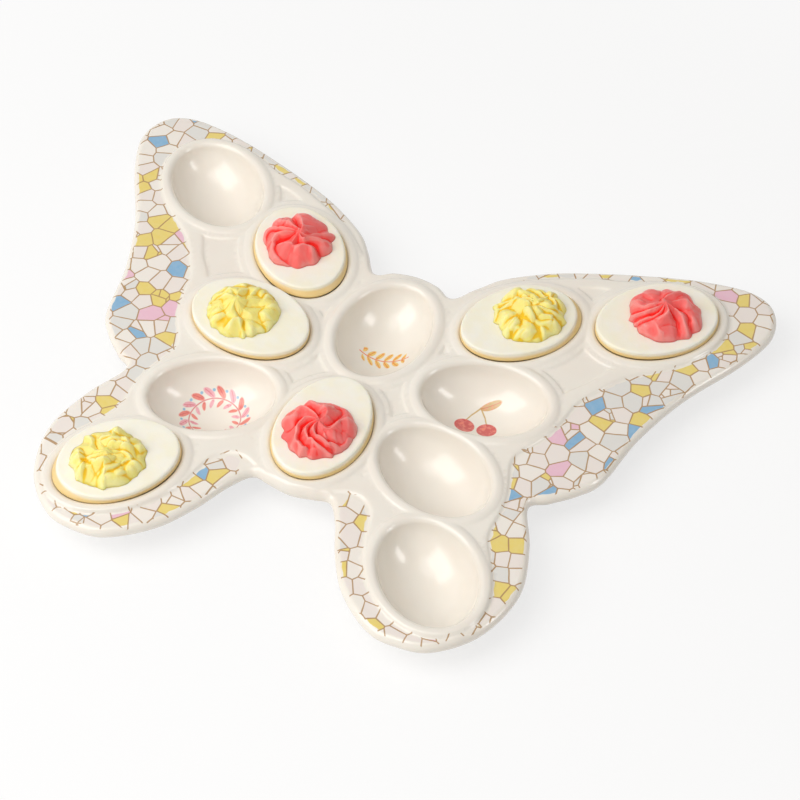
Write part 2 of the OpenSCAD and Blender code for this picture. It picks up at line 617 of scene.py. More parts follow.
@dataclass(frozen=True)
class CherryGlaze(MotifGlaze):
    """Two red cherries on ochre stems under a leaf."""

    name: str = "cherry_glaze"
    fruit: float = 4.8
    squash: float = 0.94
    places: tuple[Pair, ...] = ((-6.2, -3.6), (4.4, -5.4))
    fork: Pair = (1.2, 7.6)
    knee_out: float = 0.12
    knee_up: float = 1.6
    stem_start: float = 0.7
    stem_widths: Pair = (0.6, 0.7)
    leaf: Oval = Oval((6.0, 8.6), (5.2, 1.9), 0.3)
    leaf_shade: float = 0.6
    rib: Stroke = Stroke((1.4, 7.3), (10.2, 9.9), 0.4)
    rib_cover: float = 0.55
    glint: Oval = Oval((-1.4, 1.3), (1.25, 0.7), 0.8)
    glint_cover: float = 0.8
    shade_size: float = 1.8
    shade_band: Pair = (0.42, 0.7)
    fruit_shade: float = 0.7
    red: Colour = screen(214, 66, 66)
    coral: Colour = screen(244, 138, 118)
    ochre: Colour = screen(204, 168, 96)

    def stems(self, x: Value, y: Value, colour: Value) -> Value:
        """Paints a bent stem from each fruit up to the fork.

        Args:
            x, y: The place across and along the motif.
            colour: Colour under the stems.

        Returns:
            The painted colour.
        """
        for place in self.places:
            knee = (
                (place[0] + self.fork[0]) / 2 + place[0] * self.knee_out,
                (place[1] + self.fork[1]) / 2 + self.knee_up,
            )
            foot = (place[0], place[1] + self.fruit * self.stem_start)
            lower = Stroke(foot, knee, self.stem_widths[0]).outside(x, y)
            upper = Stroke(knee, self.fork, self.stem_widths[1]).outside(x, y)
            colour = self.paint(colour, lower.math("MINIMUM", upper), self.ochre, self.cover)
        return colour

    def print_on(self, tree: Tree, spot: Value, colour: Value) -> Value:
        """Paints stems, leaf and then the fruit.

        Args:
            tree: The nodes of the material.
            spot: The place on the ware.
            colour: Colour of the glaze under the motif.

        Returns:
            The painted colour.
        """
        x, y = self.paper(tree, spot)
        shade = tree.noise(spot, self.shade_size).ease(*self.shade_band)
        colour = self.stems(x, y, colour)
        leaf = tree.mix(shade * self.leaf_shade, self.ochre, self.coral)
        colour = self.paint(colour, self.leaf.outside(x, y), leaf, self.cover)
        colour = self.paint(colour, self.rib.outside(x, y), self.red, self.rib_cover)
        skin = tree.mix(shade * self.fruit_shade, self.red, self.coral)
        for place in self.places:
            disc = Oval(place, (self.fruit, self.fruit * self.squash)).outside(x, y)
            colour = self.paint(colour, disc, skin, self.cover)
            glint = self.glint.outside(x - place[0], y - place[1])
            colour = self.paint(colour, glint, self.coral, self.glint_cover)
        return colour


@dataclass(frozen=True)
class EggWhiteFinish:
    """Moist boiled white, with painted warm light and shade below the cut, where the white sits in the gap
    of its well.
    """

    name: str = "boiled_egg_white"
    colour: Colour = screen(253, 249, 235)
    cream: Colour = screen(252, 243, 212)
    cream_share: float = 0.45
    # Painted warm bounce light and shade of the gap between the white and its well.
    painted_gap_light: Colour = screen(238, 200, 112)
    painted_gap_share: float = 0.8
    cloud_size: float = 11.0
    cloud_band: Pair = (0.35, 0.7)
    roughness: float = 0.34
    cloud_roughness: float = 0.12
    dimple_size: float = 6.0
    pore_size: float = 0.8
    pore_share: float = 0.35
    relief: float = 0.18

    def material(self) -> bpy.types.Material:
        """Makes the material.

        Returns:
            The finish of all the egg whites.
        """
        tree = Tree.of_material(self.name)
        spot = tree.spot()
        cloud = tree.noise(spot, self.cloud_size)
        cream = cloud.ease(*self.cloud_band) * self.cream_share
        colour = tree.mix(cream, self.colour, self.cream)
        # Painted gap light: warm light and shade below the cut, by the weight that the mesh stores.
        colour = tree.mix(tree.stored("painted_gap_light") * self.painted_gap_share, colour, self.painted_gap_light)
        pores = tree.noise(spot, self.pore_size, detail=3.0) * self.pore_share
        dimples = tree.noise(spot, self.dimple_size, detail=1.0)
        tree.dress(
            Base_Color=colour,
            Roughness=self.roughness + cloud * self.cloud_roughness,
            Normal=tree.bump(pores + dimples, self.relief),
            Subsurface_Weight=0.22,
            Subsurface_Radius=(1.0, 0.8, 0.45),
            Subsurface_Scale=3.0 * MM,
            IOR=1.42,
        )
        return tree.owner


@dataclass(frozen=True)
class PasteFinish:
    """Piped paste, with painted shade in its creases and painted highlights on its ridges."""

    name: str
    colour: Colour
    # The crease colour is painted shade, and the ridge colour a painted highlight.
    crease_shade: Colour
    ridge: Colour
    roughness: float
    grain: float
    grain_depth: float
    bleed: Triple
    cloud_size: float = 4.5
    cloud_roughness: float = 0.15
    crease_shade_cloud: float = 0.2
    crease_shade_band: Pair = (0.05, 0.6)
    ridge_highlight_cloud: float = 0.3
    ridge_highlight_band: Pair = (0.05, 0.7)
    ridge_highlight_share: float = 0.6

    def material(self) -> bpy.types.Material:
        """Makes the material.

        Returns:
            The finish of the fillings of one flavour.
        """
        tree = Tree.of_material(self.name)
        spot = tree.spot()
        fold = tree.stored("fold")
        cloud = tree.noise(spot, self.cloud_size)
        # Painted shade where the paste lies below its mean height.
        sunk = (fold + cloud * self.crease_shade_cloud - self.crease_shade_cloud / 2).ease(*self.crease_shade_band)
        colour = tree.mix(sunk, self.colour, self.crease_shade)
        # Painted highlight where the paste stands above its mean height.
        highlit = (cloud * self.ridge_highlight_cloud - self.ridge_highlight_cloud / 2 - fold).ease(*self.ridge_highlight_band)
        colour = tree.mix(highlit * self.ridge_highlight_share, colour, self.ridge)
        tree.dress(
            Base_Color=colour,
            Roughness=self.roughness + cloud * self.cloud_roughness,
            Normal=tree.bump(tree.noise(spot, self.grain, detail=3.0), self.grain_depth),
            Subsurface_Weight=0.5,
            Subsurface_Radius=self.bleed,
            Subsurface_Scale=2.5 * MM,
            IOR=1.38,
        )
        return tree.owner


@dataclass(frozen=True)
class Piping:
    """How a paste holds its shape: how high it stands, and its petals, dollops, folds and grain."""

    rise: float
    warp: float
    relief: float
    dollop_depth: float
    fold_depth: float
    fold_size: float
    grain_depth: float
    grain_size: float


class Flavour(Enum):
    """The two kinds of filling, with the record's slot, their finish and how they pipe."""

    PINK = (
        "pink_filling",
        PasteFinish(
            "pink_paste",
            colour=screen(255, 112, 108), crease_shade=screen(255, 60, 52), ridge=screen(255, 168, 162),
            roughness=0.3, grain=1.4, grain_depth=0.12, bleed=(1.0, 0.35, 0.3),
        ),
        Piping(
            rise=0.94, warp=0.8, relief=0.5, dollop_depth=0.75,
            fold_depth=0.5, fold_size=7.0, grain_depth=0.14, grain_size=2.0,
        ),
    )
    YELLOW = (
        "yellow_filling",
        PasteFinish(
            "yellow_paste",
            colour=screen(254, 236, 138), crease_shade=screen(247, 203, 36), ridge=screen(255, 246, 184),
            roughness=0.42, grain=0.9, grain_depth=0.22, bleed=(1.0, 0.8, 0.3),
        ),
        Piping(
            rise=0.86, warp=1.4, relief=0.2, dollop_depth=1.55,
            fold_depth=0.5, fold_size=7.5, grain_depth=0.2, grain_size=2.0,
        ),
    )

    @property
    def slot(self) -> str:
        """The record's material slot."""
        return self.value[0]

    @property
    def finish(self) -> PasteFinish:
        """How the paste looks."""
        return self.value[1]

    @property
    def piping(self) -> Piping:
        """How the paste holds its shape."""
        return self.value[2]


@dataclass(frozen=True)
class Well:
    """The place of one well in millimetres, and the way that its broad end points in radians."""

    x: float
    y: float
    angle: float

    def inward(self, spots: Array) -> Array:
        """Moves places from the part's frame to the well's own.

        Args:
            spots: Places in the part's frame.

        Returns:
            Where they are along and across the well.
        """
        x, y = spots[..., 0] - self.x, spots[..., 1] - self.y
        cos, sin = math.cos(self.angle), math.sin(self.angle)
        return np.stack([x * cos + y * sin, y * cos - x * sin], -1)

    def outward(self, spots: Array) -> Array:
        """Moves places from the well's own frame to the part's.

        Args:
            spots: Places in the well's frame.

        Returns:
            Where they are in the part's frame, at the same heights.
        """
        cos, sin = math.cos(self.angle), math.sin(self.angle)
        moved = np.array(spots, dtype=float)
        moved[..., 0] = self.x + spots[..., 0] * cos - spots[..., 1] * sin
        moved[..., 1] = self.y + spots[..., 0] * sin + spots[..., 1] * cos
        return moved


def oval_distance(spots: Array, halves: Sequence[float]) -> Array:
    """How far outside an oval or egg-shaped body places are.

    Args:
        spots: Places in the body's own frame.
        halves: Its half sizes.

    Returns:
        The distances, below 0 inside it.
    """
    halves = np.array(halves)
    near = np.linalg.norm(spots / halves, axis=-1)
    steep = np.linalg.norm(spots / halves ** 2, axis=-1)
    return near * (near - 1) / np.maximum(steep, TINY)


@dataclass
class Layout:
    """Places of the wells and the outline, as shares of the pitch, as the part's source has them."""

    pitch: float
    reach_share: float = 2.875
    head_share: float = 0.565
    tail_share: float = 0.61
    wing_wells: dict[str, Triple] = field(default_factory=lambda: {
        "tip": (1.985, 1.52, 42),
        "forewing": (0.985, 1.065, 48),
        "wing": (1.025, 0.21, 9),
        "inner": (0.96, -0.62, -25),
        "hindwing": (1.31, -1.555, -48),
    })
    outline_shares: tuple[Pair, ...] = (
        (0, 1.255), (0.2, 1.215), (0.35, 1.145), (0.5, 1.355), (0.66, 1.54), (1, 1.76), (1.34, 1.91),
        (1.67, 2.03), (2.02, 2.14), (2.35, 2.205), (2.58, 2.21), (2.75, 2.14), (2.845, 2.005),
        (2.875, 1.84), (2.84, 1.67), (2.715, 1.38), (2.45, 0.89), (2.27, 0.375), (2.175, -0.13),
        (2.05, -0.33), (1.87, -0.5), (1.74, -0.62), (1.9, -0.98), (2, -1.42), (1.88, -1.865),
        (1.61, -2.15), (1.34, -2.215), (1.085, -2.175), (0.785, -1.945), (0.59, -1.655),
        (0.45, -1.355), (0.33, -1.19), (0.19, -1.205), (0, -1.23),
    )

    def wells(self) -> dict[str, Well]:
        """Places the wells.

        Returns:
            Every well by name.
        """
        found = {
            "head": Well(0, self.head_share * self.pitch, math.radians(90)),
            "tail": Well(0, -self.tail_share * self.pitch, math.radians(-90)),
        }
        for name, (x, y, angle) in self.wing_wells.items():
            found[f"{name}_left"] = Well(-x * self.pitch, y * self.pitch, math.radians(180 - angle))
            found[f"{name}_right"] = Well(x * self.pitch, y * self.pitch, math.radians(angle))
        return found

    def outline(self, steps: int) -> Array:
        """Smooth curve through the outline's points and their mirror images.

        Args:
            steps: How many points it has for each of the outline's own.

        Returns:
            The closed curve, clockwise.
        """
        half = np.array(self.outline_shares) * self.pitch
        loop = np.vstack([half, (half * [-1, 1])[-2:0:-1]])
        a, b, c, d = (np.roll(loop, shift, 0)[:, None] for shift in (1, 0, -1, -2))
        t = (np.arange(steps) / steps)[None, :, None]
        bend = 2 * a - 5 * b + 4 * c - d
        twist = 3 * b - a - 3 * c + d
        curve = 2 * b + (c - a) * t + bend * t ** 2 + twist * t ** 3
        return (curve / 2).reshape(-1, 2)


@dataclass
class Patch:
    """Points and faces that are sewn to their neighbours later."""

    points: Array
    faces: list[tuple[int, ...]]


def grid_patch(rings: Array, first: bool = False, last: bool = False) -> Patch:
    """Faces between closed rings of points.

    Args:
        rings: Points by ring and by place on the ring.
        first: Whether a fan closes the first ring at its middle point.
        last: Whether a fan closes the last ring.

    Returns:
        The patch, with faces that turn left along the rings and then outwards.
    """
    count, sides, _ = rings.shape
    points = rings.reshape(-1, 3)
    faces = []
    for k in range(count - 1):
        for i in range(sides):
            j = (i + 1) % sides
            faces.append((k * sides + i, (k + 1) * sides + i, (k + 1) * sides + j, k * sides + j))
    if first:
        faces += [(len(points), i, (i + 1) % sides) for i in range(sides)]
        points = np.vstack([points, rings[0].mean(0)])
    if last:
        start = (count - 1) * sides
        faces += [(len(points), start + (i + 1) % sides, start + i) for i in range(sides)]
        points = np.vstack([points, rings[-1].mean(0)])
    return Patch(points, faces)


def lattice(low: Array, high: Array, step: float) -> tuple[Array, Array]:
    """Points of a triangular grid.

    Args:
        low, high: Corners of the field in millimetres.
        step: Distance between neighbours.

    Returns:
        The points, and whether each also belongs to a grid three times as wide.
    """
    rise = step * math.sqrt(3) / 2
    columns = np.arange(math.ceil((high[0] - low[0]) / step) + 1)
    rows = np.arange(math.ceil((high[1] - low[1]) / rise) + 1)
    i, j = np.meshgrid(columns, rows)
    x = low[0] + (i + 0.5 * (j % 2)) * step
    y = low[1] + j * rise
    wide = (i % 3 == 0) & (j % 3 == 0)
    return np.stack([x.ravel(), y.ravel()], 1), wide.ravel()


def fill(loops: list[Array], inner: Array) -> tuple[Array, Array]:
    """Triangles between closed loops and points that lie among them.

    Args:
        loops: The outer loop, which turns right, and then the holes, which are round.
        inner: Loose points.

    Returns:
        All the points, and the triangles.
    """
    edges, labels = [], []
    for number, loop in enumerate(loops):
        start, count = len(edges), len(loop)
        edges += [(start + i, start + (i + 1) % count) for i in range(count)]
        labels += [number] * count
    labels += [-1] * len(inner)
    points = np.vstack(loops + [inner])
    _, _, faces, origins, _, _ = delaunay_2d_cdt(
        [Vector(p) for p in points], edges, [], 1, LOOP_PRECISION, True
    )
    if not all(origins):
        raise ValueError("loops of the platter cross")
    source = np.array([origin[0] for origin in origins])
    faces = np.array([tuple(face) for face in faces])
    on_loop = np.array(labels)[source][faces]
    ear = (on_loop[:, 0] >= 0) & (on_loop == on_loop[:, :1]).all(1)
    corners = points[np.sort(source[faces], 1)]
    first, second, third = np.moveaxis(corners, 1, 0)
    leftward = np.cross(second - first, third - first) > 0
    outside = ear & (leftward | (on_loop[:, 0] > 0))
    return points[source], faces[~outside]


def read(items: Any, name: str, width: int, kind: type = float) -> Array:
    """Reads one property of all the items of a mesh.

    Args:
        items: Its points, corners or faces.
        name: The property.
        width: How many numbers it has.
        kind: Their type.

    Returns:
        One row an item, or one number where width is 1.
    """
    values = np.empty(len(items) * width, dtype=np.float32 if kind is float else kind)
    items.foreach_get(name, values)
    values = values.astype(kind)
    return values.reshape(-1, width) if width > 1 else values


def store(mesh: bpy.types.Mesh, name: str, values: Array) -> None:
    """Stores a number at each point of a mesh, for its finish.

    Args:
        mesh: The mesh.
        name: What the finish calls the number.
        values: The numbers of the first points. The others get 0.
    """
    padded = np.zeros(len(mesh.vertices))
    padded[:len(values)] = values
    mesh.attributes.new(name, "FLOAT", "POINT").data.foreach_set("value", padded)


def sew(name: str, patches: Iterable[Patch]) -> bpy.types.Object:
    """Joins patches along the points that they share.

    Args:
        name: Name of the piece.
        patches: Its patches, in millimetres.

    Returns:
        One smooth piece.
    """
    points, faces, start = [], [], 0
    for patch in patches:
        points.append(patch.points)
        faces += [tuple(int(i) + start for i in face) for face in patch.faces]
        start += len(patch.points)
    mesh = bpy.data.meshes.new(name)
    mesh.from_pydata(np.vstack(points) * MM, [], faces)
    work = bmesh.new()
    work.from_mesh(mesh)
    bmesh.ops.remove_doubles(work, verts=work.verts, dist=SEW_DISTANCE * MM)
    bmesh.ops.recalc_face_normals(work, faces=work.faces)
    work.to_mesh(mesh)
    work.free()
    mesh.shade_smooth()
    piece = bpy.data.objects.new(name, mesh)
    bpy.context.scene.collection.objects.link(piece)
    return piece


@dataclass
class Platter:
    """The ceramic: bowls with rolled lips, collars on shelves, a round edge and cups under it.

    Lands are low islands beside the wells: a place and a radius, as shares of the pitch.
    """

    layout: Layout
    crest_z: float
    egg_length: float
    egg_width: float
    cut_z: float
    well_play: float = 1.0
    seat_gap: float = 0.5
    collar_rise: float = 2.0
    slab_thickness: float = 6.5
    cup_wall: float = 5.0
    lip_radius: float = 2.2
    lip_reach: float = 0.8
    collar_reach: float = 5.4
    collar_curve: float = 0.8
    shelf_rise: float = 1.0
    shelf_reach: float = 4.7
    shelf_step: float = 1.3
    blend: float = 11.5
    recess_start: float = 7.6
    recess_depth: float = 0.8
    recess_reach: float = 0.2
    recess_step: float = 1.2
    lands: tuple[Triple, ...] = ((1.5, 0.86, 0.16), (1.42, 1.6, -0.05))
    fillet: float = 7.0
    foot_round: float = 0.6
    print_edge: float = 1.7
    print_gap: float = 0.3
    print_fore: float = 0.8
    print_hind: float = 0.44
    print_none: float = -9.0
    steps: int = 10
    bowl_sides: int = 108
    bowl_shares: tuple[tuple[float, float, int], ...] = ((0.04, 0.88, 22), (0.9, 1.0, 8))
    bowl_search: Pair = (0.4, 3.0)
    edge_rings: int = 8
    fine: float = 0.7
    steep: float = 0.025
    nudge: float = 0.3
    lip_room: float = 0.4
    edge_room: float = 0.7
    under_step: float = 2.2
    under_room: float = 0.6
    corner_share: float = 0.97
    batch: int = 2000
    map_room: float = 1.02
    map_shift: float = 0.505

    def __post_init__(self) -> None:
        """Works out the sizes that follow from the others."""
        self.wells = self.layout.wells()
        self.half_length = self.egg_length / 2 + self.well_play
        self.half_width = self.egg_width / 2 + self.well_play
        self.well_z = self.cut_z - self.seat_gap + self.well_play
        self.field_z = self.crest_z - self.collar_rise
        self.edge_radius = self.slab_thickness / 2
        self.slab_z = self.field_z - self.edge_radius
        self.floor_z = self.field_z - self.slab_thickness
        share = math.sqrt(1 - ((self.well_z - self.crest_z) / self.half_width) ** 2)
        self.mouth = np.array([self.half_length, self.half_width]) * share
        self.curve = self.layout.outline(self.steps)
        along = np.roll(self.curve, -1, 0) - np.roll(self.curve, 1, 0)
        self.inward = np.stack([along[:, 1], -along[:, 0]], 1) / np.linalg.norm(along, axis=1)[:, None]

    def inset(self, depth: float) -> Array:
        """The outline moved inwards."""
        return self.curve + self.inward * depth

    def edge_depth(self, spots: Array) -> Array:
        """How far inside the outline places are.

        Args:
            spots: Places on the plan.

        Returns:
            The distances, below 0 outside it.
        """
        depths = []
        for part in np.array_split(spots, max(1, len(spots) // self.batch)):
            away = part[:, None] - self.curve[None]
            nearest = (away ** 2).sum(-1).argmin(1)
            rows = np.arange(len(part))
            across = (away[rows, nearest] * self.inward[nearest]).sum(-1)
            along = np.linalg.norm(away[rows, nearest], axis=-1)
            depths.append(np.where(across > 0, np.maximum(across, along * self.corner_share), -along))
        return np.concatenate(depths)

    def mouth_gaps(self, spots: Array) -> Array:
        """How far outside the mouth of each well places are."""
        return np.stack([oval_distance(well.inward(spots), self.mouth) for well in self.wells.values()])

    def spread(self, spots: Array, gaps: Array) -> Array:
        """How far outside the wells and lands, taken together and smoothly joined, places are.

        Args:
            spots: Places on the plan.
            gaps: How far outside each well's mouth they are.

        Returns:
            The distances.
        """
        total = np.exp(-gaps / self.blend).sum(0)
        for x, y, radius in self.lands:
            for side in (-1, 1):
                away = np.linalg.norm(spots - np.array([side * x, y]) * self.layout.pitch, axis=1)
                total += np.exp((radius * self.layout.pitch - away) / self.blend)
        return -self.blend * np.log(total)

    def land(self, spots: Array) -> Array:
        """Height of the upper face outside the lips of the wells.

        Args:
            spots: Places on the plan.

        Returns:
            The heights.
        """
        gaps = self.mouth_gaps(spots)
        near = gaps.min(0)
        spread = self.spread(spots, gaps)
        shelf = ease(spread, self.shelf_reach + self.shelf_step / 2, self.shelf_reach - self.shelf_step / 2)
        share = np.clip((near - self.lip_radius) / (self.collar_reach - self.lip_radius), 0, 1)
        collar = (1 - share ** 2) ** self.collar_curve
        sunk = ease(near, self.recess_start, self.recess_start + self.recess_step)
        sunk = sunk * ease(spread, self.recess_reach, self.recess_reach - self.recess_step)
        shelf_height = self.shelf_rise - self.recess_depth * sunk
        return self.field_z + shelf * (shelf_height + (self.collar_rise - self.shelf_rise) * collar)

    def under(self, spots: Array) -> Array:
        """Height of the underside: a flat slab with cups that end in flat feet.

        Args:
            spots: Places on the plan.

        Returns:
            The heights.
        """
        height = np.full(len(spots), self.floor_z)
        halves = np.array([self.half_length, self.half_width]) + self.cup_wall
        for well in self.wells.values():
            share = np.linalg.norm(well.inward(spots) / halves, axis=1)
            cup = self.well_z - halves[1] * np.sqrt(np.maximum(1 - share ** 2, 0))
            height = soft_min(height, cup, self.fillet)
        return -soft_min(-height, np.zeros(len(spots)), self.foot_round)

    def solid(self, spots: Array, top: Array | float, wells: Iterable[Well]) -> Array:
        """Below 0 in the ceramic, whose lips are rolled over.

        Args:
            spots: Places in the part's frame.
            top: Height of the upper face there, outside the lips.
            wells: The wells that hollow it out.

        Returns:
            About how far outside the ceramic the places are.
        """
        halves = (self.half_length, self.half_width, self.half_width)
        faces = [spots[..., 2] - top]
        for well in wells:
            local = np.concatenate([well.inward(spots), spots[..., 2:] - self.well_z], -1)
            faces.append(-oval_distance(local, halves))
        faces = np.stack(faces)
        rolled = np.linalg.norm(np.maximum(faces + self.lip_radius, 0), axis=0)
        return np.minimum(faces.max(0), -self.lip_radius) + rolled

    def bowl(self, well: Well) -> Array:
        """Finds the inside of a well along sight lines from a place above it.

        Args:
            well: The well.

        Returns:
            Rings of points from its middle out to the top of its lip, in the part's frame.
        """
        angle = np.linspace(0, TURN, self.bowl_sides, endpoint=False)
        shares = np.concatenate([np.linspace(*part) for part in self.bowl_shares])
        aims = rays(angle) * self.mouth * shares[:, None, None]
        aims = well.outward(np.concatenate([aims, np.full(aims.shape[:2] + (1,), self.crest_z)], -1))
        eye = np.array([well.x, well.y, self.crest_z + self.half_width])
        sight = aims - eye
        low, high = (np.full(sight.shape[:2], limit) for limit in self.bowl_search)
        for wells in ([well], list(self.wells.values())):
            for _ in range(SEARCH_STEPS):
                middle = (low + high) / 2
                inside = self.solid(eye + sight * middle[..., None], self.crest_z, wells) < 0
                high, low = np.where(inside, middle, high), np.where(inside, low, middle)
            high = low + self.lip_radius / 2 / np.linalg.norm(sight, axis=-1)
        return eye + sight * low[..., None]

    def upper_height(self, spots: Array) -> Array:
        """Height of the upper face, rolled down towards the mouths of the wells.

        Args:
            spots: Places on the plan.

        Returns:
            The heights.
        """
        top = self.land(spots)
        low, high = top - 2 * self.lip_radius, top.copy()
        for _ in range(SEARCH_STEPS):
            middle = (low + high) / 2
            inside = self.solid(np.column_stack([spots, middle]), top, self.wells.values()) < 0
            low, high = np.where(inside, middle, low), np.where(inside, high, middle)
        return low

    def edge(self, top: Array, bottom: Array) -> Patch:
        """The round edge, from the underside over the outline to the upper face.

        Args:
            top: Heights of the upper face along the rim.
            bottom: Heights of the underside along the rim.

        Returns:
            The edge's patch.
        """
        rings = []
        for k in range(-self.edge_rings, self.edge_rings + 1):
            angle = QUARTER * k / self.edge_rings
            flat = self.inset(self.edge_radius * (1 - math.cos(angle)))
            reach = (top if k > 0 else bottom) - self.slab_z
            height = self.slab_z + abs(math.sin(angle)) * reach
            rings.append(np.column_stack([flat, height]))
        return grid_patch(np.array(rings))

    def slope(self, spots: Array) -> Array:
        """How steep the upper face is outside the lips.

        Args:
            spots: Places on the plan.

        Returns:
            The slopes, with 1 for 45 degrees.
        """
        shifts = np.eye(2) * self.nudge
        return np.hypot(*(self.land(spots + s) - self.land(spots - s) for s in shifts)) / (2 * self.nudge)

    def upper(self, rim: Array, bowls: list[Array]) -> Patch:
        """The upper face between the edge and the lips, with finer points where it slopes.

        Args:
            rim: The edge's inner side on the plan.
            bowls: Rings of each well, whose last one is its lip.

        Returns:
            The face's patch.
        """
        spots, wide = lattice(self.curve.min(0), self.curve.max(0), self.fine)
        clear = self.mouth_gaps(spots).min(0) > self.lip_reach + self.fine * self.lip_room
        spots, wide = spots[clear], wide[clear]
        deep = self.edge_depth(spots) > self.edge_radius + self.fine * self.edge_room
        spots, wide = spots[deep], wide[deep]
        lip = self.mouth_gaps(spots).min(0) < self.lip_radius + self.fine
        keep = wide | lip | (self.slope(spots) > self.steep)
        points, faces = fill([rim] + [bowl[-1][:, :2] for bowl in bowls], spots[keep])
        height = self.upper_height(points)
        return Patch(np.column_stack([points, height]), [tuple(face) for face in faces])

    def lower(self, rim: Array) -> Patch:
        """The underside with its cups and feet.

        Args:
            rim: The edge's inner side on the plan.

        Returns:
            The underside's patch.
        """
        spots, _ = lattice(self.curve.min(0), self.curve.max(0), self.under_step)
        spots = spots[self.edge_depth(spots) > self.edge_radius + self.under_step * self.under_room]
        points, faces = fill([rim], spots)
        return Patch(np.column_stack([points, self.under(points)]), [tuple(face[::-1]) for face in faces])

    def print_depth(self, points: Array) -> Array:
        """How far inside the printed borders of the wings points are.

        Args:
            points: Points of the ceramic.

        Returns:
            The distances, below 0 where nothing is printed.
        """
        flat = points[:, :2]
        spread = self.spread(flat, self.mouth_gaps(flat)) - self.shelf_reach - self.print_gap
        margin = self.edge_depth(flat) - self.print_edge
        bare = np.where(flat[:, 1] > 0, self.print_fore, self.print_hind)
        body = np.abs(flat[:, 0]) - self.layout.pitch * bare
        depth = np.minimum(np.minimum(spread, margin), body)
        return np.where(points[:, 2] > self.slab_z, depth, self.print_none)

    def build(self, motifs: dict[str, MotifGlaze]) -> bpy.types.Object:
        """Makes the piece.

        Args:
            motifs: Glazes with a painted motif, by the name of the well that they go in.

        Returns:
            The object, with its finishes.
        """
        bowls = [self.bowl(well) for well in self.wells.values()]
        rim = self.inset(self.edge_radius)
        edge = self.edge(self.upper_height(rim), self.under(rim))
        patches = [self.upper(rim, bowls), self.lower(rim), edge]
        patches += [grid_patch(bowl, first=True) for bowl in bowls]
        piece = sew("platter_ceramic", patches)
        mesh = piece.data
        points = read(mesh.vertices, "co", 3) / MM
        facing = read(mesh.polygons, "normal", 3)[:, 2] > 0
        store(mesh, "print", self.print_depth(points))
        self.dress(mesh, facing, motifs)
        self.unfold(mesh, points, facing)
        return piece

    def dress(self, mesh: bpy.types.Mesh, facing: Array, motifs: dict[str, MotifGlaze]) -> None:
        """Glazes the ceramic.

        Args:
            mesh: Its mesh.
            facing: Whether each face looks up.
            motifs: Glazes with a painted motif, by the name of the well that they go in.
        """
        mesh.materials.append(MosaicGlaze().material())
        middles = read(mesh.polygons, "center", 3) / MM
        slots = np.zeros(len(mesh.polygons), dtype=np.int32)
        for name, glaze in motifs.items():
            mesh.materials.append(glaze.material())
            inside = oval_distance(self.wells[name].inward(middles[:, :2]), self.mouth) < 0
            slots[inside & facing] = len(mesh.materials) - 1
        mesh.polygons.foreach_set("material_index", slots)

    def unfold(self, mesh: bpy.types.Mesh, points: Array, facing: Array) -> None:
        """Lays the upper face and the underside side by side on a map.

        Args:
            mesh: The mesh of the ceramic.
            points: Its points, in millimetres.
            facing: Whether each face looks up.
        """
        span = 2 * np.ptp(self.curve, axis=0)[1] * self.map_room
        corners = read(mesh.loops, "vertex_index", 1, np.int32)
        counts = read(mesh.polygons, "loop_total", 1, np.int32)
        place = (points[corners, :2] - self.curve.min(0)) / span
        place[:, 1] += np.where(np.repeat(facing, counts), self.map_shift, 0.0)
        mesh.uv_layers.new(name="OFBake").data.foreach_set("uv", place.ravel())


